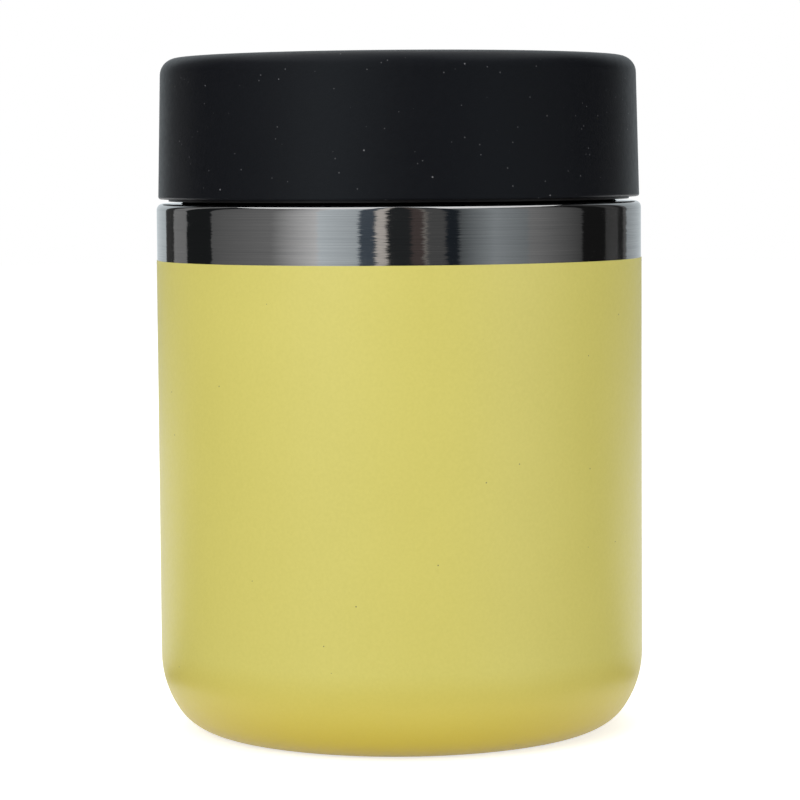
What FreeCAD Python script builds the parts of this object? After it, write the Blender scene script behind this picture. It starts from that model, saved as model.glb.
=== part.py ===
import FreeCAD
import Part
import math
import os

# Insulated food jar: a double-walled steel vessel with a screw-on lid, in millimetres.
# The jar stands on z = 0 with its axis on Z. The lid is screwed fully down.

# Overall form
body_radius = 50.0
shoulder_height = 108.5
shoulder_radius = 1.3
bare_band_height = 11.58
coat_thickness = 0.12

# Foot: the side runs into the standing edge through two tangent arcs
foot_reach = 11.75
foot_corner_height = 15.61
foot_arc_radius = 10.0
foot_width = 3.2
foot_bend_radius = 1.5
recess_bend_radius = 1.0
recess_height = 3.0

# Steel sheet
shell_wall = 0.5
liner_wall = 0.5
weld_rise = 2.39

# Neck and mouth
shoulder_width = 5.7
neck_fillet = 0.8
neck_height = 15.5
rim_radius = 1.0
rim_width = 2.6
rim_seam_width = 1.3

# Inner vessel, set in from the outer wall by the vacuum
liner_inset = 6.5
liner_base_gap = 5.0
liner_corner_radius = 14.0
liner_neck_depth = 3.5
liner_neck_drop = 4.5
liner_neck_bend = 4.0

# Screw thread shared by the neck and the lid
thread_starts = 3
thread_pitch = 4.0
thread_depth = 1.2
thread_root_width = 2.2
thread_crest_width = 0.8
thread_sunk = 0.25
neck_thread_rise = 4.1
neck_thread_turn = 200.0
lid_thread_turn = 150.0
rolled_end_wall = 0.8
thread_crest_clearance = 0.4
thread_flank_clearance = 0.3

# Base closure
cover_thickness = 0.5
cover_clearance = 0.3
dimple_radius = 6.0
dimple_height = 1.2
seal_hole_radius = 1.2
seal_bead_radius = 3.2
seal_bead_height = 0.9

# Getter
getter_radius = 4.5
getter_thickness = 1.6
getter_offset = 17.0
getter_cup_wall = 0.2
getter_flange_width = 2.0

# Copper foil round the inner vessel
foil_thickness = 0.08
foil_bottom_gap = 1.0
foil_top_gap = 2.5

# Lid cap
cap_edge_gap = 0.9
cap_edge_inset = 0.47
cap_draft_inset = 0.71
cap_head_height = 8.45
cap_top_fillet = 3.5
cap_edge_fillet = 0.5
cap_wall = 2.0
cap_top_wall = 2.2

# Threaded lid inner
skirt_clearance = 0.12
skirt_shoulder_gap = 0.45
lid_plate_wall = 1.6
plug_wall = 1.4
plug_neck_clearance = 0.8
plug_depth = 9.0
plug_corner_radius = 2.5
rim_seat_gap = 1.9

# Gasket under the lid plate
gasket_gap = 0.15
gasket_width = 3.0
gasket_bore_clearance = 0.05
gasket_edge_radius = 0.4

# Foam puck in the lid
foam_clearance = 0.4
foam_edge_radius = 1.5

# Ribs moulded inside the lid cap, which stand on the sealing plate
rib_count = 12
rib_width = 1.4
rib_plug_gap = 1.0

AXIS_POINT = FreeCAD.Vector(0, 0, 0)
UP = FreeCAD.Vector(0, 0, 1)

shell_radius = body_radius - coat_thickness
paint_edge_height = shoulder_height - bare_band_height
weld_height = foot_corner_height + weld_rise
foot_outer_radius = body_radius - foot_reach
foot_inner_radius = foot_outer_radius - foot_width
recess_top = recess_height + shell_wall
neck_radius = body_radius - shoulder_width
rim_height = shoulder_height + neck_height
mouth_radius = neck_radius - rim_width
rim_seam_radius = mouth_radius + rim_seam_width
liner_radius = body_radius - liner_inset
liner_floor_height = recess_top + liner_base_gap + liner_wall
liner_neck_height = shoulder_height - liner_neck_depth
liner_shoulder_foot = liner_neck_height - liner_neck_drop
foil_bottom_height = liner_floor_height + liner_corner_radius + foil_bottom_gap
foil_top_height = liner_shoulder_foot - foil_top_gap
thread_lead = thread_pitch * thread_starts
neck_thread_height = shoulder_height + neck_thread_rise
lid_thread_root = neck_radius + thread_depth + thread_crest_clearance
plug_radius = mouth_radius - plug_neck_clearance
plug_bottom = rim_height - plug_depth
lid_plate_bottom = rim_height + rim_seat_gap
lid_plate_top = lid_plate_bottom + lid_plate_wall
cap_inner_top = lid_plate_top + cap_head_height
cap_top_height = cap_inner_top + cap_top_wall
cap_edge_height = shoulder_height + cap_edge_gap
cap_edge_radius = body_radius - cap_edge_inset
cap_top_edge_radius = cap_edge_radius - cap_draft_inset
cap_draft = cap_draft_inset / (cap_top_height - cap_edge_height)


def outline(points):
    """Closed wire in the XZ plane through points of radius, height and, where wanted, corner radius."""
    corners = [FreeCAD.Vector(point[0], 0, point[1]) for point in points]
    ends = []
    edges = []
    for index, corner in enumerate(corners):
        bend = points[index][2] if len(points[index]) > 2 else 0
        back = corners[index - 1] - corner
        ahead = corners[(index + 1) % len(corners)] - corner
        if bend == 0:
            ends.append((corner, corner, None))
            continue
        back.normalize()
        ahead.normalize()
        half_angle = back.getAngle(ahead) / 2
        reach = bend / math.tan(half_angle)
        inward = (back + ahead).normalize()
        middle = corner + inward * (bend / math.sin(half_angle) - bend)
        start = corner + back * reach
        end = corner + ahead * reach
        ends.append((start, end, Part.Arc(start, middle, end).toShape()))
    for index, (start, end, bend_edge) in enumerate(ends):
        if bend_edge is not None:
            edges.append(bend_edge)
        next_start = ends[(index + 1) % len(ends)][0]
        if end.distanceToPoint(next_start) > 1e-6:
            edges.append(Part.LineSegment(end, next_start).toShape())
    return Part.Wire(edges)


def turned(points):
    """Solid of revolution about the jar's axis."""
    return Part.Face(outline(points)).revolve(AXIS_POINT, UP, 360)


def side_arc_radius():
    """Radius of the upper foot arc, tangent to the side and to the lower foot arc."""
    rise = foot_corner_height - foot_arc_radius
    return (foot_reach**2 + rise**2 - foot_arc_radius**2) / (2 * (foot_reach - foot_arc_radius))


def foot_corner(inset):
    """The two rounded corners between the side and the foot, for a surface set in from the coat."""
    side_arc = side_arc_radius()
    lower_centre = FreeCAD.Vector(foot_outer_radius, 0, foot_arc_radius)
    upper_centre = FreeCAD.Vector(body_radius - side_arc, 0, foot_corner_height)
    outward = (lower_centre - upper_centre).normalize()
    meeting = lower_centre + outward * (foot_arc_radius - inset)
    along = FreeCAD.Vector(-outward.z, 0, outward.x)
    to_side = (body_radius - inset - meeting.x) / along.x
    to_floor = (inset - meeting.z) / along.z
    side_corner = meeting + along * to_side
    floor_corner = meeting + along * to_floor
    return [
        (side_corner.x, side_corner.z, side_arc - inset),
        (floor_corner.x, floor_corner.z, foot_arc_radius - inset),
    ]


def flank_slope():
    """Axial run of a thread flank for each unit of depth."""
    return (thread_root_width - thread_crest_width) / 2 / thread_depth


def helical_ridge(root_radius, depth, root_width, crest_width, bottom, turn, start_angle):
    """One trapezoid thread ridge. A positive depth stands outward, a negative one inward."""
    rise = thread_lead * turn / 360
    base_radius = root_radius - math.copysign(thread_sunk, depth)
    crest_radius = root_radius + depth
    base_half = root_width / 2 + flank_slope() * thread_sunk
    crest_half = crest_width / 2
    corners = [
        FreeCAD.Vector(base_radius, 0, -base_half),
        FreeCAD.Vector(crest_radius, 0, -crest_half),
        FreeCAD.Vector(crest_radius, 0, crest_half),
        FreeCAD.Vector(base_radius, 0, base_half),
    ]
    section = Part.makePolygon(corners + corners[:1])
    path = Part.Wire(Part.makeHelix(thread_lead, rise, root_radius).Edges)
    ridge = path.makePipeShell([section], True, True)
    ridge.translate(FreeCAD.Vector(0, 0, bottom))
    ridge.rotate(AXIS_POINT, UP, start_angle)
    return ridge


def thread_ridges(root_radius, depth, bottom, turn):
    """All starts of a thread, evenly spaced round the axis."""
    step = 360 / thread_starts
    return [
        helical_ridge(
            root_radius, depth, thread_root_width, thread_crest_width, bottom, turn, step * start
        )
        for start in range(thread_starts)
    ]


def rolled_grooves():
    """The hollow that rolling leaves behind each neck ridge, one sheet thickness inside it."""
    inside_radius = neck_radius - shell_wall
    flank_wall = shell_wall * math.hypot(1, flank_slope())
    root_width = thread_root_width + 2 * (flank_slope() * shell_wall - flank_wall)
    crest_width = root_width - 2 * flank_slope() * thread_depth
    end_angle = math.degrees(rolled_end_wall / neck_radius)
    end_rise = thread_lead * end_angle / 360
    step = 360 / thread_starts
    return [
        helical_ridge(
            inside_radius,
            thread_depth,
            root_width,
            crest_width,
            neck_thread_height + end_rise,
            neck_thread_turn - 2 * end_angle,
            step * start + end_angle,
        )
        for start in range(thread_starts)
    ]


def outer_shell():
    """Steel outer wall with its shoulder, threaded neck and half of the mouth rim."""
    tube = turned([
        (shell_radius, weld_height),
        (shell_radius, shoulder_height, shoulder_radius),
        (neck_radius, shoulder_height, neck_fillet),
        (neck_radius, rim_height, rim_radius),
        (rim_seam_radius, rim_height),
        (rim_seam_radius, rim_height - shell_wall),
        (neck_radius - shell_wall, rim_height - shell_wall, rim_radius - shell_wall),
        (neck_radius - shell_wall, shoulder_height - shell_wall, neck_fillet + shell_wall),
        (shell_radius - shell_wall, shoulder_height - shell_wall, shoulder_radius - shell_wall),
        (shell_radius - shell_wall, weld_height),
    ])
    ridges = thread_ridges(neck_radius, thread_depth, neck_thread_height, neck_thread_turn)
    return tube.fuse(ridges).cut(rolled_grooves())


def outer_base():
    """Pressed steel bottom with the standing edge, the recess and the evacuation dimple."""
    outside = foot_corner(coat_thickness)
    inside = foot_corner(coat_thickness + shell_wall)
    channel_height = coat_thickness + shell_wall
    return turned([
        (shell_radius, weld_height),
        outside[0],
        outside[1],
        (foot_outer_radius, coat_thickness),
        (foot_outer_radius, 0),
        (foot_inner_radius, 0, foot_bend_radius),
        (foot_inner_radius, recess_height, recess_bend_radius),
        (dimple_radius, recess_height),
        (dimple_radius, recess_height + dimple_height),
        (seal_hole_radius, recess_height + dimple_height),
        (seal_hole_radius, recess_top + dimple_height),
        (dimple_radius + shell_wall, recess_top + dimple_height),
        (dimple_radius + shell_wall, recess_top),
        (foot_inner_radius + shell_wall, recess_top, recess_bend_radius + shell_wall),
        (foot_inner_radius + shell_wall, channel_height, foot_bend_radius - shell_wall),
        inside[1],
        inside[0],
        (shell_radius - shell_wall, weld_height),
    ])


def base_cover():
    """Flat steel disc that closes the recess under the jar."""
    cover_radius = foot_inner_radius - recess_bend_radius - cover_clearance
    return turned([
        (0, recess_height - cover_thickness),
        (cover_radius, recess_height - cover_thickness, cover_thickness / 3),
        (cover_radius, recess_height),
        (0, recess_height),
    ])


def vacuum_seal_bead():
    """Solder glass button that plugs the evacuation hole from inside the dimple."""
    underside = recess_height + dimple_height - seal_bead_height
    return turned([
        (0, underside),
        (seal_bead_radius, underside, seal_bead_height / 2),
        (seal_bead_radius, recess_height + dimple_height),
        (seal_hole_radius, recess_height + dimple_height),
        (seal_hole_radius, recess_top + dimple_height),
        (0, recess_top + dimple_height),
    ])


def inner_liner():
    """Deep-drawn steel inner vessel with its half of the mouth rim."""
    outer_bend = liner_neck_bend + liner_wall
    return turned([
        (0, liner_floor_height),
        (liner_radius, liner_floor_height, liner_corner_radius),
        (liner_radius, liner_shoulder_foot, liner_neck_bend),
        (mouth_radius, liner_neck_height, outer_bend),
        (mouth_radius, rim_height, rim_radius),
        (rim_seam_radius, rim_height),
        (rim_seam_radius, rim_height - liner_wall),
        (mouth_radius + liner_wall, rim_height - liner_wall, rim_radius - liner_wall),
        (mouth_radius + liner_wall, liner_neck_height, liner_neck_bend),
        (liner_radius + liner_wall, liner_shoulder_foot, outer_bend),
        (liner_radius + liner_wall, liner_floor_height - liner_wall, liner_corner_radius + liner_wall),
        (0, liner_floor_height - liner_wall),
    ])


def copper_foil_wrap():
    """Heat-reflecting foil sleeve round the inner vessel."""
    inside = liner_radius + liner_wall
    return turned([
        (inside, foil_bottom_height),
        (inside + foil_thickness, foil_bottom_height),
        (inside + foil_thickness, foil_top_height),
        (inside, foil_top_height),
    ])


def getter_parts():
    """Getter pill and the little flanged cup that holds it under the inner vessel."""
    seat = liner_floor_height - liner_wall
    centre = FreeCAD.Vector(getter_offset, 0, seat - getter_thickness)
    pill = Part.makeCylinder(getter_radius, getter_thickness, centre)
    cup_radius = getter_radius + getter_cup_wall
    body = Part.makeCylinder(
        cup_radius,
        getter_thickness + getter_cup_wall,
        centre - UP * getter_cup_wall,
    )
    flange = Part.makeCylinder(
        cup_radius + getter_flange_width,
        getter_cup_wall,
        FreeCAD.Vector(getter_offset, 0, seat - getter_cup_wall),
    )
    cup = body.fuse(flange).cut(pill)
    return pill, cup


def powder_coat():
    """Coloured coat from the paint edge down round the corner to the standing edge."""
    outside = foot_corner(0)
    inside = foot_corner(coat_thickness)
    return turned([
        (shell_radius, paint_edge_height),
        (body_radius, paint_edge_height),
        outside[0],
        outside[1],
        (foot_outer_radius, 0),
        (foot_outer_radius, coat_thickness),
        inside[1],
        inside[0],
    ])


def cap_radius_at(height):
    """Outside radius of the drafted lid wall."""
    return cap_edge_radius - cap_draft * (height - cap_edge_height)


def lid_cap():
    """Outer lid shell with its drafted wall, rounded top edge and inner ribs."""
    shell = turned([
        (0, cap_top_height),
        (cap_top_edge_radius, cap_top_height, cap_top_fillet),
        (cap_edge_radius, cap_edge_height, cap_edge_fillet),
        (cap_edge_radius - cap_wall, cap_edge_height),
        (cap_radius_at(cap_inner_top) - cap_wall, cap_inner_top, cap_top_fillet - cap_wall),
        (0, cap_inner_top),
    ])
    rib_outer = cap_radius_at(lid_plate_top) - cap_wall
    rib_inner = plug_radius + rib_plug_gap
    ribs = []
    for index in range(rib_count):
        rib = Part.makeBox(
            rib_outer - rib_inner + cap_wall / 2,
            rib_width,
            cap_head_height + cap_top_wall / 2,
            FreeCAD.Vector(rib_inner, -rib_width / 2, lid_plate_top),
        )
        rib.rotate(AXIS_POINT, UP, 360 / rib_count * index)
        ribs.append(rib)
    return shell.fuse(ribs).removeSplitter()


def skirt_radius_at(height):
    """Outside radius of the threaded skirt, just inside the lid cap."""
    return cap_radius_at(height) - cap_wall - skirt_clearance


def thread_drop():
    """How far the lid's ridges lie under the neck's ridges that hold them down."""
    shared_width = thread_root_width - flank_slope() * (lid_thread_root - neck_radius)
    return shared_width + thread_flank_clearance


def lid_inner():
    """Threaded skirt, sealing plate and hollow plug, moulded as one piece."""
    skirt_bottom = shoulder_height + skirt_shoulder_gap
    body = turned([
        (skirt_radius_at(skirt_bottom), skirt_bottom),
        (skirt_radius_at(lid_plate_top), lid_plate_top),
        (plug_radius - plug_wall, lid_plate_top),
        (plug_radius - plug_wall, plug_bottom + plug_wall, plug_corner_radius - plug_wall),
        (0, plug_bottom + plug_wall),
        (0, plug_bottom),
        (plug_radius, plug_bottom, plug_corner_radius),
        (plug_radius, lid_plate_bottom),
        (lid_thread_root, lid_plate_bottom),
        (lid_thread_root, skirt_bottom),
    ])
    ridges = thread_ridges(
        lid_thread_root,
        -thread_depth,
        neck_thread_height - thread_drop(),
        lid_thread_turn,
    )
    return body.fuse(ridges)


def lid_gasket():
    """Silicone ring under the sealing plate, just clear of the mouth rim at rest."""
    bottom = rim_height + gasket_gap
    inner = plug_radius + gasket_bore_clearance
    outer = inner + gasket_width
    return turned([
        (inner, bottom, gasket_edge_radius),
        (outer, bottom, gasket_edge_radius),
        (outer, lid_plate_bottom),
        (inner, lid_plate_bottom),
    ])


def lid_insulation():
    """Foam puck that fills the hollow plug under the lid cap."""
    bottom = plug_bottom + plug_wall + foam_clearance
    top = cap_inner_top - foam_clearance
    radius = plug_radius - plug_wall - foam_clearance
    return turned([
        (0, bottom),
        (radius, bottom, foam_edge_radius),
        (radius, top, foam_edge_radius),
        (0, top),
    ])


def save(name, shape):
    """Write one node and print what it holds."""
    os.makedirs("parts", exist_ok=True)
    shape.exportStep(f"parts/{name}.step")
    print(name, len(shape.Solids), "solid", round(shape.Volume, 1), "mm3, valid", shape.isValid())


def main():
    getter, getter_cup = getter_parts()
    save("outer_shell", outer_shell())
    save("outer_base", outer_base())
    save("base_cover", base_cover())
    save("vacuum_seal_bead", vacuum_seal_bead())
    save("inner_liner", inner_liner())
    save("copper_foil_wrap", copper_foil_wrap())
    save("getter", getter)
    save("getter_cup", getter_cup)
    save("powder_coat", powder_coat())
    save("lid_cap", lid_cap())
    save("lid_inner", lid_inner())
    save("lid_gasket", lid_gasket())
    save("lid_insulation", lid_insulation())


main()
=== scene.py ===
import math
import bmesh
import bpy
from mathutils import Matrix, Vector


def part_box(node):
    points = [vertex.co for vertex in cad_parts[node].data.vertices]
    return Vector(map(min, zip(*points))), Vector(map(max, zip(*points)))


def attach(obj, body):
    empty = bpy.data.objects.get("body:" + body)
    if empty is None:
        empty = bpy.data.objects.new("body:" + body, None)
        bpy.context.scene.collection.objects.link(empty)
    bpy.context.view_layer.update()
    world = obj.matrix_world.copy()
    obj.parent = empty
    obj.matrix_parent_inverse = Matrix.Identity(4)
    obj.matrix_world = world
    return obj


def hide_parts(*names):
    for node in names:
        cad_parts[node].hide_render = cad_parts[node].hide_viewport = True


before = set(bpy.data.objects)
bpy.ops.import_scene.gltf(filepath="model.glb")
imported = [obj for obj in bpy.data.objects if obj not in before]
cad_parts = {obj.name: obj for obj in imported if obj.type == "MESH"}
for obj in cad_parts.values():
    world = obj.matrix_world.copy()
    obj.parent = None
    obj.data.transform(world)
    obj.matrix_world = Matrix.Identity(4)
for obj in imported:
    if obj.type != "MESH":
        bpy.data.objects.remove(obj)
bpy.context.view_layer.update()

# Camera, fitted to the photographed view
CAMERA_DISTANCE = 0.65015
CAMERA_HEIGHT = 0.11677
CAMERA_PITCH = 4.34
CAMERA_ROLL = -0.41
CAMERA_YAW = -0.07
CAMERA_LENS = 141.36
CAMERA_SENSOR = 36.0
CAMERA_SHIFT_X = -0.00504

# Turned meshes
TURN_STEPS = 360
CORNER_STEPS = 10
SUPPORT = 0.00008
SHORT_RUN = 4 * SUPPORT
TOUCHING = 1e-6
ON_AXIS = 1e-7
DOUBLED = 1e-8
SHARP_ANGLE = 40.0

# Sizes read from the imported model
BODY_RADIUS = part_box("powder_coat")[1].x
PAINT_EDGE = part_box("powder_coat")[1].z
SHELL_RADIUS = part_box("outer_shell")[1].x
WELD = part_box("outer_shell")[0].z
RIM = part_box("outer_shell")[1].z
CAP_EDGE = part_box("lid_cap")[0].z
CAP_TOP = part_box("lid_cap")[1].z
SKIRT_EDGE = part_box("lid_inner")[0].z
COVER_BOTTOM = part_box("base_cover")[0].z
COVER_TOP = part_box("base_cover")[1].z
COVER_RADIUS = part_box("base_cover")[1].x
LINER_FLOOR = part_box("inner_liner")[0].z
GASKET_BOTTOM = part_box("lid_gasket")[0].z
PLATE_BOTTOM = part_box("lid_gasket")[1].z
COAT = BODY_RADIUS - SHELL_RADIUS
COAT_EDGE_BEND = COAT / 3
COVER_EDGE_BEND = (COVER_TOP - COVER_BOTTOM) / 3

# Body form, in metres
WALL = 0.0005
FOOT_RADIUS = 0.03825
FOOT_WIDTH = 0.0032
FOOT_BEND = 0.0015
RECESS_BEND = 0.001
FOOT_ARC = 0.010
FOOT_CORNER_HEIGHT = 0.01561
SHOULDER = 0.1085
SHOULDER_BEND = 0.0013
NECK_RADIUS = 0.0443
NECK_FILLET = 0.0008
RIM_BEND = 0.001
MOUTH_RADIUS = 0.0417
SEAM_RADIUS = 0.043
LINER_RADIUS = 0.0435
LINER_CORNER = 0.014
LINER_NECK = 0.105
LINER_NECK_DROP = 0.0045
LINER_NECK_BEND = 0.004

# Lid form
CAP_EDGE_RADIUS = 0.04953
CAP_TOP_RADIUS = 0.04882
CAP_FILLET = 0.0035
CAP_EDGE_BEND = 0.0005
CAP_WALL = 0.002
CAP_TOP_WALL = 0.0022
SKIRT_GAP = 0.00012
PLATE_WALL = 0.0016
PLUG_RADIUS = 0.0409
PLUG_WALL = 0.0014
PLUG_DEPTH = 0.009
PLUG_CORNER = 0.0025
LID_THREAD_ROOT = 0.0459
GASKET_BORE = 0.04095
GASKET_WIDTH = 0.003
GASKET_BEND = 0.0004

# Thread form
STARTS = 3
LEAD = 0.012
THREAD_DEPTH = 0.0012
THREAD_ROOT_WIDTH = 0.0022
THREAD_CREST_WIDTH = 0.0008
THREAD_CREST_FLAT = 0.6
THREAD_BEND_START = 0.8
THREAD_BEND_WIDTH = 0.00012
NECK_THREAD_BOTTOM = 0.1126
NECK_THREAD_TURN = 200.0
LID_THREAD_DROP = 0.00157
LID_THREAD_TURN = 150.0
RUN_OUT = 9.0
THREAD_STEPS_PER_TURN = 240

# Finishes: how far a polishing line turns the surface, as a slope, and how high the painted shade at the
# foot reaches
LINE_LEAN = 0.010
FOOT_PAINTED_SHADE_TOP = 0.018

# Floor, world and lamps
FLOOR_RADIUS = 3.0
FLOOR_SIDES = 128
FLOOR_DROP = 0.00002
FLOOR_GLOW = 0.66
WORLD_FILL = 0.47
LAMP_HEIGHT = 1.0
KEY_POWER = 7.8
FILL_POWER = 5.8
TOP_POWER = 3.0
BACK_POWER = 4.0

# Cards that the steel reflects, in metres and degrees of azimuth
CARD_DISTANCE = 0.9
CARD_TOE = 0.07
CARD_LIFT = 0.0005
CARD_HIGH = 1.1
CARD_TALL = 12.0
CARD_STEPS = 24
CAMERA_SIDE_START = -18
CAMERA_SIDE_END = 27
FLOOR_BARE_FROM = 120


def arc_points(corner, before, after, bend):
    """Points of the arc that rounds a corner of an outline."""
    back = (before - corner).normalized()
    ahead = (after - corner).normalized()
    half = back.angle(ahead) / 2
    reach = bend / math.tan(half)
    centre = corner + (back + ahead).normalized() * (bend / math.sin(half))
    start = corner + back * reach
    end = corner + ahead * reach
    from_centre = start - centre
    sweep = from_centre.angle_signed(end - centre)
    points = []
    for step in range(CORNER_STEPS + 1):
        angle = sweep * step / CORNER_STEPS
        turned = Matrix.Rotation(-angle, 2) @ from_centre
        points.append(centre + turned)
    return points


def outline(corners):
    """Closed outline through corners of radius, height and, where wanted, a bend radius. An extra point
    beside each end of a bend keeps the straight runs flat."""
    flat = [Vector(corner[:2]) for corner in corners]
    stretches = []
    for index, corner in enumerate(corners):
        if len(corner) == 2:
            stretches.append([flat[index]])
            continue
        before = flat[index - 1]
        after = flat[(index + 1) % len(flat)]
        stretches.append(arc_points(flat[index], before, after, corner[2]))
    points = []
    for index, stretch in enumerate(stretches):
        points += stretch
        following = stretches[(index + 1) % len(stretches)]
        run = following[0] - stretch[-1]
        if run.length < TOUCHING:
            points.pop()
            continue
        if run.length < SHORT_RUN:
            continue
        if len(stretch) > 1:
            points.append(stretch[-1] + run.normalized() * SUPPORT)
        if len(following) > 1:
            points.append(following[0] - run.normalized() * SUPPORT)
    return points


def lathe(name, corners, body, material):
    """A closed outline turned about the jar's axis, as one smooth mesh."""
    points = outline(corners)
    mesh = bpy.data.meshes.new(name)
    bm = bmesh.new()
    rings = []
    for point in points:
        if point.x < ON_AXIS:
            rings.append([bm.verts.new((0, 0, point.y))])
            continue
        ring = []
        for step in range(TURN_STEPS):
            angle = 2 * math.pi * step / TURN_STEPS
            ring.append(bm.verts.new((point.x * math.cos(angle), point.x * math.sin(angle), point.y)))
        rings.append(ring)
    for index, lower in enumerate(rings):
        upper = rings[(index + 1) % len(rings)]
        if len(lower) == 1 and len(upper) == 1:
            continue
        for step in range(TURN_STEPS):
            after = (step + 1) % TURN_STEPS
            if len(lower) == 1:
                bm.faces.new((lower[0], upper[after], upper[step]))
            elif len(upper) == 1:
                bm.faces.new((lower[step], lower[after], upper[0]))
            else:
                bm.faces.new((lower[step], lower[after], upper[after], upper[step]))
    finish_mesh(bm, mesh)
    return placed(name, mesh, body, material)


def finish_mesh(bm, mesh):
    """Weld, face outward, smooth and keep the sharp edges sharp."""
    bmesh.ops.remove_doubles(bm, verts=bm.verts, dist=DOUBLED)
    bmesh.ops.recalc_face_normals(bm, faces=bm.faces)
    for face in bm.faces:
        face.smooth = True
    bm.to_mesh(mesh)
    bm.free()
    mesh.set_sharp_from_angle(angle=math.radians(SHARP_ANGLE))


def placed(name, mesh, body, material):
    """A new piece on its body and its material."""
    piece = bpy.data.objects.new(name, mesh)
    bpy.context.scene.collection.objects.link(piece)
    mesh.materials.append(material)
    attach(piece, body)
    return piece


def ridge(name, root_radius, depth, bottom, turn, start_angle, body, material):
    """One thread start: a trapezoid swept along its helix, which runs out into the wall at both ends."""
    steps = int(THREAD_STEPS_PER_TURN * turn / 360)
    mesh = bpy.data.meshes.new(name)
    bm = bmesh.new()
    sunk = math.copysign(WALL / 2, depth)
    rings = []
    for step in range(steps + 1):
        along = turn * step / steps
        fade = min(1.0, along / RUN_OUT, (turn - along) / RUN_OUT)
        fade = fade * fade * (3 - 2 * fade)
        angle = math.radians(start_angle + along)
        height = bottom + LEAD * along / 360
        crest = root_radius + depth * fade
        root_half = THREAD_ROOT_WIDTH / 2
        crest_half = THREAD_CREST_WIDTH / 2
        shoulder = root_radius + depth * fade * THREAD_BEND_START
        shoulder_half = crest_half + THREAD_BEND_WIDTH
        flat_half = crest_half * THREAD_CREST_FLAT
        section = [
            (root_radius - sunk, -root_half),
            (root_radius, -root_half),
            (shoulder, -shoulder_half),
            (crest, -flat_half),
            (crest, flat_half),
            (shoulder, shoulder_half),
            (root_radius, root_half),
            (root_radius - sunk, root_half),
        ]
        rings.append([
            bm.verts.new((radius * math.cos(angle), radius * math.sin(angle), height + rise))
            for radius, rise in section
        ])
    count = len(rings[0])
    for lower, upper in zip(rings, rings[1:]):
        for side in range(count):
            after = (side + 1) % count
            bm.faces.new((lower[side], lower[after], upper[after], upper[side]))
    bm.faces.new(rings[0])
    bm.faces.new(list(reversed(rings[-1])))
    finish_mesh(bm, mesh)
    placed(name, mesh, body, material)


def foot_corner(inset):
    """The two rounded corners between the side and the foot, for a surface set in from the coat."""
    reach = BODY_RADIUS - FOOT_RADIUS
    rise = FOOT_CORNER_HEIGHT - FOOT_ARC
    side_arc = (reach**2 + rise**2 - FOOT_ARC**2) / (2 * (reach - FOOT_ARC))
    lower_centre = Vector((FOOT_RADIUS, FOOT_ARC))
    upper_centre = Vector((BODY_RADIUS - side_arc, FOOT_CORNER_HEIGHT))
    outward = (lower_centre - upper_centre).normalized()
    meeting = lower_centre + outward * (FOOT_ARC - inset)
    along = Vector((-outward.y, outward.x))
    side_corner = meeting + along * ((BODY_RADIUS - inset - meeting.x) / along.x)
    floor_corner = meeting + along * ((inset - meeting.y) / along.y)
    return [
        (side_corner.x, side_corner.y, side_arc - inset),
        (floor_corner.x, floor_corner.y, FOOT_ARC - inset),
    ]


class Tree:
    """A node tree with short ways to add and join nodes."""

    def __init__(self, tree):
        self.tree = tree

    def add(self, kind, inputs=None, **settings):
        """A new node, with its settings made before its inputs are fed."""
        node = self.tree.nodes.new(kind)
        for key, value in settings.items():
            setattr(node, key, value)
        self.feed(node, inputs or {})
        return node

    def feed(self, node, inputs):
        """Join each input to a socket, or set it to a plain value."""
        for key, value in inputs.items():
            if isinstance(value, bpy.types.NodeSocket):
                self.link(value, node.inputs[key])
            else:
                node.inputs[key].default_value = value

    def link(self, source, target):
        self.tree.links.new(source, target)

    def seen(self):
        """One for what the camera, a reflection or a clear body sees, and zero for what only lights."""
        ray = self.add("ShaderNodeLightPath")
        direct = self.add(
            "ShaderNodeMath",
            {0: ray.outputs["Is Camera Ray"], 1: ray.outputs["Is Glossy Ray"]},
            operation="MAXIMUM",
        )
        through = self.add(
            "ShaderNodeMath",
            {0: direct.outputs[0], 1: ray.outputs["Is Transmission Ray"]},
            operation="MAXIMUM",
        )
        return through.outputs[0]


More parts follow.
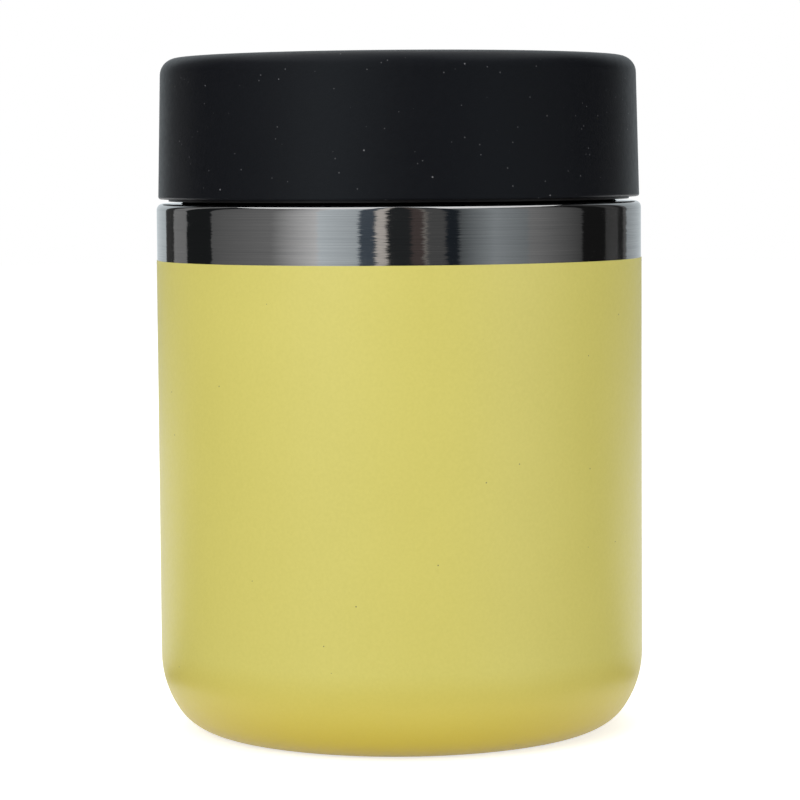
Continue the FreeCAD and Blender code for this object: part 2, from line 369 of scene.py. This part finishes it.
class Nodes(Tree):
    """A material with one Principled shader, and short ways to feed it."""

    # Sockets of a colour mix node
    FACTOR = 0
    FIRST = 6
    SECOND = 7
    MIXED = 2

    def __init__(self, name):
        self.material = bpy.data.materials.new(name)
        self.material.use_nodes = True
        super().__init__(self.material.node_tree)
        self.shader = self.tree.nodes["Principled BSDF"]

    def coordinates(self, scale):
        """Object coordinates in metres, stretched by a scale for each axis."""
        where = self.add("ShaderNodeTexCoord").outputs["Object"]
        return self.add("ShaderNodeMapping", {"Vector": where, "Scale": scale}).outputs["Vector"]

    def noise(self, scale, detail=4.0, roughness=0.55):
        """Noise over object coordinates, given as features for each metre."""
        place = self.coordinates(scale if isinstance(scale, tuple) else (scale,) * 3)
        look = {"Scale": 1.0, "Detail": detail, "Roughness": roughness}
        return self.add("ShaderNodeTexNoise", {"Vector": place, **look}).outputs["Fac"]

    def spread(self, value, low, high, start=0.3, end=0.7):
        """A value from start to end, mapped to low to high and held there."""
        reach = {"From Min": start, "From Max": end, "To Min": low, "To Max": high}
        return self.add("ShaderNodeMapRange", {"Value": value, **reach}).outputs["Result"]

    def mix(self, factor, first, second):
        """A colour between two others."""
        inputs = {self.FACTOR: factor, self.FIRST: first, self.SECOND: second}
        return self.add("ShaderNodeMix", inputs, data_type="RGBA").outputs[self.MIXED]

    def mottle(self, value, first, second):
        """A colour that wanders between two others with a noise."""
        return self.mix(self.spread(value, low=0.0, high=1.0), first, second)

    def specks(self, cells, radius, share):
        """One where a tiny speck lies: cells for each metre, radius in cells, share of cells with one."""
        place = self.coordinates((cells,) * 3)
        spots = self.add("ShaderNodeTexVoronoi", {"Vector": place, "Scale": 1.0})
        inside = self.add(
            "ShaderNodeMath", {0: spots.outputs["Distance"], 1: radius}, operation="LESS_THAN"
        )
        draw = self.add("ShaderNodeSeparateColor", {"Color": spots.outputs["Color"]})
        chosen = self.add("ShaderNodeMath", {0: draw.outputs["Red"], 1: share}, operation="LESS_THAN")
        both = self.add(
            "ShaderNodeMath", {0: inside.outputs[0], 1: chosen.outputs[0]}, operation="MULTIPLY"
        )
        return both.outputs[0]

    def base(self, colour):
        """Feed the shader's base colour."""
        self.link(colour, self.shader.inputs["Base Color"])

    def roughness(self, value, low, high):
        """Feed the shader's roughness with a noise between two values."""
        self.link(self.spread(value, low, high), self.shader.inputs["Roughness"])

    def turned(self):
        """Run the stretched highlights across lines that go round the jar's axis."""
        tangent = self.add("ShaderNodeTangent", direction_type="RADIAL", axis="Z").outputs["Tangent"]
        self.link(tangent, self.shader.inputs["Tangent"])
        return tangent

    def bump(self, height, distance, strength, normal=None):
        """Feed a height into the shader's normal."""
        inputs = {"Height": height, "Distance": distance, "Strength": strength}
        if normal is not None:
            inputs["Normal"] = normal
        self.link(self.add("ShaderNodeBump", inputs).outputs["Normal"], self.shader.inputs["Normal"])

    def set(self, **values):
        """Set plain values on the shader's own inputs."""
        for key, value in values.items():
            self.shader.inputs[key.replace("_", " ")].default_value = value


def yellow_coat():
    """Satin powder coat with faint orange peel, a few dark grains, and painted shade that darkens the
    yellow to a deeper gold towards the foot.
    """
    m = Nodes("yellow_coat")
    m.set(Specular_IOR_Level=0.62)
    colour = m.mottle(m.noise(22.0, detail=2.0), (0.640, 0.575, 0.125, 1), (0.665, 0.598, 0.135, 1))
    grain = m.spread(m.noise(1500.0, detail=2.0), low=0.0, high=0.16)
    colour = m.mix(grain, colour, (0.80, 0.72, 0.20, 1))
    place = m.add("ShaderNodeSeparateXYZ", {"Vector": m.coordinates((1.0, 1.0, 1.0))})
    # Painted shade: the coat turns darker and more golden towards the foot, where the downward-facing
    # corner gets less light
    foot = m.spread(place.outputs["Z"], low=1.0, high=0.0, start=0.0, end=FOOT_PAINTED_SHADE_TOP)
    colour = m.mix(foot, colour, (0.60, 0.45, 0.005, 1))
    dark = m.specks(cells=190.0, radius=0.028, share=0.45)
    colour = m.mix(dark, colour, (0.25, 0.22, 0.06, 1))
    m.base(colour)
    m.roughness(m.noise(900.0, detail=2.0), low=0.37, high=0.43)
    m.bump(m.noise(1100.0, detail=3.0), distance=0.00003, strength=0.5)
    return m.material


def band_steel():
    """Stainless sheet polished round the body, in fine lines that each lie a little off true."""
    m = Nodes("brushed_steel")
    m.set(Metallic=1.0, Anisotropic=0.8, Anisotropic_Rotation=0.25)
    lines = m.noise((25.0, 25.0, 9000.0), detail=3.0, roughness=0.6)
    broad = m.noise((10.0, 10.0, 300.0), detail=2.0)
    colour = m.mottle(lines, (0.54, 0.545, 0.55, 1), (0.71, 0.705, 0.70, 1))
    m.base(colour)
    m.roughness(broad, low=0.05, high=0.09)
    off_true = m.spread(m.noise((170.0, 170.0, 5500.0), detail=2.0), low=-LINE_LEAN, high=LINE_LEAN)
    lean = m.add("ShaderNodeVectorMath", {0: m.turned(), "Scale": off_true}, operation="SCALE")
    surface = m.add("ShaderNodeNewGeometry").outputs["Normal"]
    leaning = m.add("ShaderNodeVectorMath", {0: surface, 1: lean.outputs[0]}, operation="ADD")
    m.bump(lines, distance=0.000004, strength=0.6, normal=leaning.outputs[0])
    return m.material


def liner_steel():
    """Satin steel of the food vessel, finely turned."""
    m = Nodes("liner_steel")
    m.set(Metallic=1.0, Anisotropic=0.4)
    lines = m.noise((30.0, 30.0, 4000.0), detail=3.0, roughness=0.6)
    colour = m.mottle(lines, (0.58, 0.575, 0.565, 1), (0.68, 0.675, 0.665, 1))
    m.base(colour)
    m.roughness(m.noise(60.0), low=0.24, high=0.34)
    m.turned()
    m.bump(lines, distance=0.00001, strength=0.5)
    return m.material


def black_cap():
    """Soft-touch black plastic with a fine moulded grain and a little dust."""
    m = Nodes("black_cap")
    m.set(Specular_IOR_Level=0.26, Specular_Tint=(0.86, 0.94, 1.0, 1))
    colour = m.mottle(m.noise(14.0, detail=2.0), (0.0042, 0.0046, 0.0066, 1), (0.0052, 0.0057, 0.0080, 1))
    dust = m.specks(cells=480.0, radius=0.07, share=0.9)
    colour = m.mix(dust, colour, (0.07, 0.07, 0.075, 1))
    lint = m.specks(cells=250.0, radius=0.04, share=0.8)
    colour = m.mix(lint, colour, (0.16, 0.16, 0.17, 1))
    m.base(colour)
    m.roughness(m.noise(700.0, detail=3.0), low=0.35, high=0.41)
    m.bump(m.noise(2600.0, detail=3.0), distance=0.00004, strength=0.5)
    return m.material


def black_inner():
    """Black moulded plastic of the threaded lid inner."""
    m = Nodes("black_inner")
    colour = m.mottle(m.noise(40.0), (0.010, 0.010, 0.011, 1), (0.016, 0.016, 0.017, 1))
    m.base(colour)
    m.roughness(m.noise(250.0, detail=3.0), low=0.30, high=0.42)
    m.bump(m.noise(1800.0, detail=3.0), distance=0.00002, strength=0.5)
    return m.material


def silicone():
    """Translucent grey-white silicone."""
    m = Nodes("silicone")
    m.set(Subsurface_Weight=0.3, Subsurface_Radius=(0.002, 0.002, 0.002))
    colour = m.mottle(m.noise(120.0), (0.56, 0.56, 0.54, 1), (0.64, 0.64, 0.62, 1))
    m.base(colour)
    m.roughness(m.noise(400.0), low=0.42, high=0.55)
    m.bump(m.noise(2200.0), distance=0.00002, strength=0.4)
    return m.material


def copper_foil():
    """Bright copper foil with wrinkles."""
    m = Nodes("copper_foil")
    m.set(Metallic=1.0)
    colour = m.mottle(m.noise(60.0), (0.80, 0.38, 0.24, 1), (0.90, 0.50, 0.34, 1))
    m.base(colour)
    m.roughness(m.noise(300.0), low=0.15, high=0.30)
    m.bump(m.noise((90.0, 90.0, 25.0), detail=5.0), distance=0.0006, strength=0.6)
    return m.material


def getter_alloy():
    """Dark sintered metal."""
    m = Nodes("getter_alloy")
    m.set(Metallic=0.7)
    colour = m.mottle(m.noise(2500.0), (0.06, 0.06, 0.065, 1), (0.16, 0.16, 0.165, 1))
    m.base(colour)
    m.roughness(m.noise(1200.0), low=0.55, high=0.8)
    m.bump(m.noise(3000.0), distance=0.00008, strength=0.7)
    return m.material


def seal_glass():
    """Dark glossy solder glass."""
    m = Nodes("seal_glass")
    colour = m.mottle(m.noise(500.0), (0.02, 0.024, 0.03, 1), (0.05, 0.055, 0.06, 1))
    m.base(colour)
    m.roughness(m.noise(700.0), low=0.08, high=0.2)
    m.bump(m.noise(900.0), distance=0.00003, strength=0.4)
    return m.material


def foam():
    """White bead foam, with painted shade darkening the sunk seams between beads."""
    m = Nodes("foam")
    beads = m.add("ShaderNodeTexVoronoi", {"Vector": m.coordinates((350.0,) * 3), "Scale": 1.0})
    cells = m.spread(beads.outputs["Distance"], low=0.0, high=1.0, start=0.1, end=0.7)
    # Painted shade: the colour darkens towards the bead seams, which the bump below sinks
    colour = m.mix(cells, (0.86, 0.86, 0.84, 1), (0.72, 0.72, 0.70, 1))
    m.base(colour)
    m.roughness(m.noise(300.0), low=0.75, high=0.9)
    m.bump(cells, distance=-0.0003, strength=0.6)
    return m.material


def build_coat(coat):
    """The powder coat, from the bare band's lower edge to the standing edge."""
    outside = foot_corner(0.0)
    inside = foot_corner(COAT)
    piece = lathe("body_coat", [
        (SHELL_RADIUS, PAINT_EDGE),
        (BODY_RADIUS, PAINT_EDGE, COAT_EDGE_BEND),
        outside[0],
        outside[1],
        (FOOT_RADIUS, 0.0),
        (FOOT_RADIUS, COAT),
        inside[1],
        inside[0],
    ], "jar", coat)
    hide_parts("powder_coat")


def build_wall(steel):
    """The outer wall with its bare band, shoulder, neck and rolled thread."""
    piece = lathe("steel_wall", [
        (SHELL_RADIUS, WELD),
        (SHELL_RADIUS, SHOULDER, SHOULDER_BEND),
        (NECK_RADIUS, SHOULDER, NECK_FILLET),
        (NECK_RADIUS, RIM, RIM_BEND),
        (SEAM_RADIUS, RIM),
        (SEAM_RADIUS, RIM - WALL),
        (NECK_RADIUS - WALL, RIM - WALL, RIM_BEND - WALL),
        (NECK_RADIUS - WALL, SHOULDER - WALL, NECK_FILLET + WALL),
        (SHELL_RADIUS - WALL, SHOULDER - WALL, SHOULDER_BEND - WALL),
        (SHELL_RADIUS - WALL, WELD),
    ], "jar", steel)
    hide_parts("outer_shell")
    for start in range(STARTS):
        ridge(
            f"neck_thread_{start + 1}", NECK_RADIUS, THREAD_DEPTH, NECK_THREAD_BOTTOM,
            NECK_THREAD_TURN, 360 / STARTS * start, "jar", steel,
        )


def build_base(steel):
    """The pressed base: corner, standing edge and recess."""
    inside = foot_corner(COAT)
    deeper = foot_corner(COAT + WALL)
    foot_inner = FOOT_RADIUS - FOOT_WIDTH
    recess_top = COVER_TOP + WALL
    piece = lathe("steel_base", [
        (SHELL_RADIUS, WELD),
        inside[0],
        inside[1],
        (FOOT_RADIUS, COAT),
        (FOOT_RADIUS, 0.0),
        (foot_inner, 0.0, FOOT_BEND),
        (foot_inner, COVER_TOP, RECESS_BEND),
        (0.0, COVER_TOP),
        (0.0, recess_top),
        (foot_inner + WALL, recess_top, RECESS_BEND + WALL),
        (foot_inner + WALL, COAT + WALL, FOOT_BEND - WALL),
        deeper[1],
        deeper[0],
        (SHELL_RADIUS - WALL, WELD),
    ], "jar", steel)
    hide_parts("outer_base")


def build_cover(steel):
    """The thin disc that closes the recess."""
    piece = lathe("bottom_disc", [
        (0.0, COVER_BOTTOM),
        (COVER_RADIUS, COVER_BOTTOM, COVER_EDGE_BEND),
        (COVER_RADIUS, COVER_TOP),
        (0.0, COVER_TOP),
    ], "jar", steel)
    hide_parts("base_cover")


def build_vessel(liner):
    """The inner vessel that holds the food, joined to the outer wall at the rim."""
    shoulder_foot = LINER_NECK - LINER_NECK_DROP
    bend = LINER_NECK_BEND
    piece = lathe("food_vessel", [
        (0.0, LINER_FLOOR + WALL),
        (LINER_RADIUS, LINER_FLOOR + WALL, LINER_CORNER),
        (LINER_RADIUS, shoulder_foot, bend),
        (MOUTH_RADIUS, LINER_NECK, bend + WALL),
        (MOUTH_RADIUS, RIM, RIM_BEND),
        (SEAM_RADIUS, RIM),
        (SEAM_RADIUS, RIM - WALL),
        (MOUTH_RADIUS + WALL, RIM - WALL, RIM_BEND - WALL),
        (MOUTH_RADIUS + WALL, LINER_NECK, bend),
        (LINER_RADIUS + WALL, shoulder_foot, bend + WALL),
        (LINER_RADIUS + WALL, LINER_FLOOR, LINER_CORNER + WALL),
        (0.0, LINER_FLOOR),
    ], "jar", liner)
    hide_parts("inner_liner")


def cap_radius(height):
    """Outside radius of the drafted lid wall."""
    share = (height - CAP_EDGE) / (CAP_TOP - CAP_EDGE)
    return CAP_EDGE_RADIUS + (CAP_TOP_RADIUS - CAP_EDGE_RADIUS) * share


def build_cap(cap):
    """The lid's black outer shell."""
    inner_top = CAP_TOP - CAP_TOP_WALL
    piece = lathe("cap_shell", [
        (0.0, CAP_TOP),
        (CAP_TOP_RADIUS, CAP_TOP, CAP_FILLET),
        (CAP_EDGE_RADIUS, CAP_EDGE, CAP_EDGE_BEND),
        (CAP_EDGE_RADIUS - CAP_WALL, CAP_EDGE),
        (cap_radius(inner_top) - CAP_WALL, inner_top, CAP_FILLET - CAP_WALL),
        (0.0, inner_top),
    ], "lid", cap)
    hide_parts("lid_cap")


def build_plug(inner):
    """The lid's inner: threaded skirt, sealing plate and plug."""
    plate_top = PLATE_BOTTOM + PLATE_WALL
    plug_bottom = RIM - PLUG_DEPTH
    piece = lathe("threaded_plug", [
        (cap_radius(SKIRT_EDGE) - CAP_WALL - SKIRT_GAP, SKIRT_EDGE),
        (cap_radius(plate_top) - CAP_WALL - SKIRT_GAP, plate_top),
        (PLUG_RADIUS - PLUG_WALL, plate_top),
        (PLUG_RADIUS - PLUG_WALL, plug_bottom + PLUG_WALL, PLUG_CORNER - PLUG_WALL),
        (0.0, plug_bottom + PLUG_WALL),
        (0.0, plug_bottom),
        (PLUG_RADIUS, plug_bottom, PLUG_CORNER),
        (PLUG_RADIUS, PLATE_BOTTOM),
        (LID_THREAD_ROOT, PLATE_BOTTOM),
        (LID_THREAD_ROOT, SKIRT_EDGE),
    ], "lid", inner)
    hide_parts("lid_inner")
    thread_bottom = NECK_THREAD_BOTTOM - LID_THREAD_DROP
    for start in range(STARTS):
        ridge(
            f"lid_thread_{start + 1}", LID_THREAD_ROOT, -THREAD_DEPTH, thread_bottom,
            LID_THREAD_TURN, 360 / STARTS * start, "lid", inner,
        )


def build_gasket(gasket):
    """The silicone ring under the sealing plate."""
    piece = lathe("seal_ring", [
        (GASKET_BORE, GASKET_BOTTOM, GASKET_BEND),
        (GASKET_BORE + GASKET_WIDTH, GASKET_BOTTOM, GASKET_BEND),
        (GASKET_BORE + GASKET_WIDTH, PLATE_BOTTOM),
        (GASKET_BORE, PLATE_BOTTOM),
    ], "lid", gasket)
    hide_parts("lid_gasket")


def dress_hidden(liner):
    """Materials for the sealed pieces that keep their own solids."""
    for node, material in (
        ("vacuum_seal_bead", seal_glass()),
        ("copper_foil_wrap", copper_foil()),
        ("getter", getter_alloy()),
        ("getter_cup", liner),
        ("lid_insulation", foam()),
    ):
        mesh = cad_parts[node].data
        mesh.materials.clear()
        mesh.materials.append(material)


def make_camera():
    """The photographed viewpoint: level with the lid, looking slightly down."""
    pitch, roll, yaw = (math.radians(v) for v in (CAMERA_PITCH, CAMERA_ROLL, CAMERA_YAW))
    right = Vector((math.cos(yaw), math.sin(yaw), 0))
    ahead = Vector((-math.sin(yaw), math.cos(yaw), 0))
    forward = ahead * math.cos(pitch) - Vector((0, 0, 1)) * math.sin(pitch)
    up = ahead * math.sin(pitch) + Vector((0, 0, 1)) * math.cos(pitch)
    side = right * math.cos(roll) + up * math.sin(roll)
    top = up * math.cos(roll) - right * math.sin(roll)
    data = bpy.data.cameras.new("camera")
    data.sensor_width = CAMERA_SENSOR
    data.lens = CAMERA_LENS
    data.shift_x = CAMERA_SHIFT_X
    camera = bpy.data.objects.new("camera", data)
    bpy.context.scene.collection.objects.link(camera)
    turn = Matrix((side, top, -forward)).transposed().to_4x4()
    camera.matrix_world = Matrix.Translation((0, -CAMERA_DISTANCE, CAMERA_HEIGHT)) @ turn
    bpy.context.scene.camera = camera


def make_floor():
    """A plain white floor that keeps the jar's shadow and meets the white world."""
    mesh = bpy.data.meshes.new("floor")
    bm = bmesh.new()
    bmesh.ops.create_circle(bm, cap_ends=True, radius=FLOOR_RADIUS, segments=FLOOR_SIDES)
    bm.to_mesh(mesh)
    bm.free()
    floor = bpy.data.objects.new("floor", mesh)
    floor.location.z = -FLOOR_DROP
    bpy.context.scene.collection.objects.link(floor)
    m = Nodes("floor_white")
    m.set(Roughness=0.9, Specular_IOR_Level=0.0, Emission_Color=(1, 1, 1, 1))
    m.base(m.mottle(m.noise(300.0), (0.80, 0.80, 0.80, 1), (0.82, 0.82, 0.82, 1)))
    glow = m.add("ShaderNodeMath", {0: m.seen(), 1: FLOOR_GLOW}, operation="MULTIPLY")
    m.link(glow.outputs[0], m.shader.inputs["Emission Strength"])
    mesh.materials.append(m.material)


def make_world():
    """A white world: full white where it is seen, softer where it lights."""
    world = bpy.data.worlds.new("studio")
    bpy.context.scene.world = world
    world.use_nodes = True
    sky = Tree(world.node_tree)
    background = sky.tree.nodes["Background"]
    background.inputs["Color"].default_value = (1, 1, 1, 1)
    levels = {"Value": sky.seen(), "To Min": WORLD_FILL, "To Max": 1.0}
    strength = sky.add("ShaderNodeMapRange", levels)
    sky.link(strength.outputs["Result"], background.inputs["Strength"])


def make_light(name, azimuth, elevation, distance, width, power):
    """A soft lamp that looks at the middle of the jar. Azimuth runs from the camera to the right."""
    data = bpy.data.lights.new(name, "AREA")
    data.shape = "RECTANGLE"
    data.size = width
    data.size_y = LAMP_HEIGHT
    data.energy = power
    lamp = bpy.data.objects.new(name, data)
    bpy.context.scene.collection.objects.link(lamp)
    side, rise = math.radians(azimuth), math.radians(elevation)
    away = Vector((math.sin(side) * math.cos(rise), -math.cos(side) * math.cos(rise), math.sin(rise)))
    target = Vector((0, 0, CAP_TOP / 2))
    lamp.location = target + away * distance
    lamp.rotation_euler = away.to_track_quat("Z", "Y").to_euler()
    return lamp


def card_material():
    """A card's glow, read from the brightness painted on its corners."""
    m = Nodes("card_glow")
    painted = m.add("ShaderNodeVertexColor", layer_name="glow")
    glow = m.add("ShaderNodeEmission", {"Color": painted.outputs["Color"]})
    m.tree.nodes.remove(m.shader)
    m.link(glow.outputs["Emission"], m.tree.nodes["Material Output"].inputs["Surface"])
    return m.material


def make_card(name, start, end, start_level, end_level, tint, top, material):
    """A card that only reflections see. It lies along the floor from the jar outward, then stands up,
    covers the azimuths from start to end, and fades from one level to the other. Behind the jar it only
    stands, and leaves the white floor bare."""
    mesh = bpy.data.meshes.new(name)
    bm = bmesh.new()
    glow = bm.loops.layers.float_color.new("glow")
    profile = [(CARD_TOE, CARD_LIFT), (CARD_DISTANCE, CARD_LIFT), (CARD_DISTANCE, top)]
    if max(abs(start), abs(end)) > FLOOR_BARE_FROM:
        profile = profile[1:]
    columns = []
    for step in range(CARD_STEPS + 1):
        angle = math.radians(start + (end - start) * step / CARD_STEPS)
        columns.append([
            bm.verts.new((reach * math.sin(angle), -reach * math.cos(angle), height))
            for reach, height in profile
        ])
    for step, (left, right) in enumerate(zip(columns, columns[1:])):
        for row in range(len(profile) - 1):
            face = bm.faces.new((left[row], right[row], right[row + 1], left[row + 1]))
            for corner, loop in enumerate(face.loops):
                share = (step + (corner in (1, 2))) / CARD_STEPS
                level = start_level + (end_level - start_level) * share
                loop[glow] = (level * tint[0], level * tint[1], level * tint[2], 1)
    bm.to_mesh(mesh)
    bm.free()
    card = bpy.data.objects.new(name, mesh)
    bpy.context.scene.collection.objects.link(card)
    mesh.materials.append(material)
    card.visible_camera = False
    card.visible_diffuse = False
    card.visible_transmission = False
    card.visible_shadow = False


def make_studio():
    """Soft lamps, the white world and floor, and the cards that the steel reflects."""
    make_world()
    make_floor()
    make_lamps()
    make_cards()


def make_lamps():
    """Four soft lamps: left, right, overhead and behind. The steel doesn't mirror the overhead one."""
    make_light("key_softbox", azimuth=-34, elevation=28, distance=1.3, width=0.9, power=KEY_POWER)
    make_light("fill_softbox", azimuth=55, elevation=8, distance=1.5, width=1.0, power=FILL_POWER)
    overhead = make_light("top_softbox", azimuth=0, elevation=80, distance=1.3, width=1.0, power=TOP_POWER)
    overhead.visible_glossy = False
    make_light("back_softbox", azimuth=180, elevation=35, distance=1.4, width=1.2, power=BACK_POWER)


def make_cards():
    """The room that the polished band mirrors, from behind on the left round to behind on the right."""
    plain = (1, 1, 1)
    cool = (0.88, 0.96, 1.0)
    warm = (1.0, 0.93, 0.86)
    dusk = (0.75, 0.95, 1.2)
    brown = (1.15, 0.9, 0.85)
    # Name, azimuths from and to, brightness from and to, tint
    cards = (
        ("back_wall_left", -180, -141, 0.80, 0.55, cool),
        ("left_edge_flag", -141, -130, 0.05, 0.03, plain),
        ("left_back_grey", -130, -116, 0.22, 0.20, plain),
        ("left_dark_flag", -116, -96, 0.015, 0.015, cool),
        ("left_wall", -96, -60, 0.11, 0.18, plain),
        ("left_window_side", -60, -37, 0.18, 0.60, plain),
        ("left_window", -37, -18, 0.65, 0.47, cool),
        ("window_frame", -18, -10.5, 0.08, 0.08, dusk),
        ("lamp_strip", -10.5, -5.5, 0.55, 0.50, warm),
        ("camera_shade", -5.5, 5.5, 0.025, 0.025, cool),
        ("room_brown", 5.5, 11, 0.06, 0.06, brown),
        ("thin_strip", 11, 12.5, 0.20, 0.20, warm),
        ("room_grey", 12.5, 21, 0.08, 0.08, plain),
        ("camera_stand", 21, 27, 0.02, 0.02, dusk),
        ("right_window_side", 27, 44, 0.10, 0.30, cool),
        ("right_window", 44, 61, 0.30, 0.20, cool),
        ("right_wall", 61, 93, 0.20, 0.06, plain),
        ("right_dark_flag", 93, 111, 0.01, 0.01, plain),
        ("right_back_grey", 111, 123, 0.05, 0.06, plain),
        ("right_edge_flag", 123, 129, 0.02, 0.02, plain),
        ("right_edge_grey", 129, 133, 0.10, 0.10, plain),
        ("back_wall_right", 133, 180, 0.35, 0.80, cool),
    )
    glow = card_material()
    for name, start, end, start_level, end_level, tint in cards:
        over_camera = start >= CAMERA_SIDE_START and end <= CAMERA_SIDE_END
        top = CARD_TALL if over_camera else CARD_HIGH
        make_card(name, start, end, start_level, end_level, tint, top, glow)


bpy.context.scene.view_settings.view_transform = "Standard"
make_camera()
outer_steel = band_steel()
inner_steel = liner_steel()
build_coat(yellow_coat())
build_wall(outer_steel)
build_base(outer_steel)
build_cover(outer_steel)
build_vessel(inner_steel)
build_cap(black_cap())
build_plug(black_inner())
build_gasket(silicone())
dress_hidden(inner_steel)
make_studio()
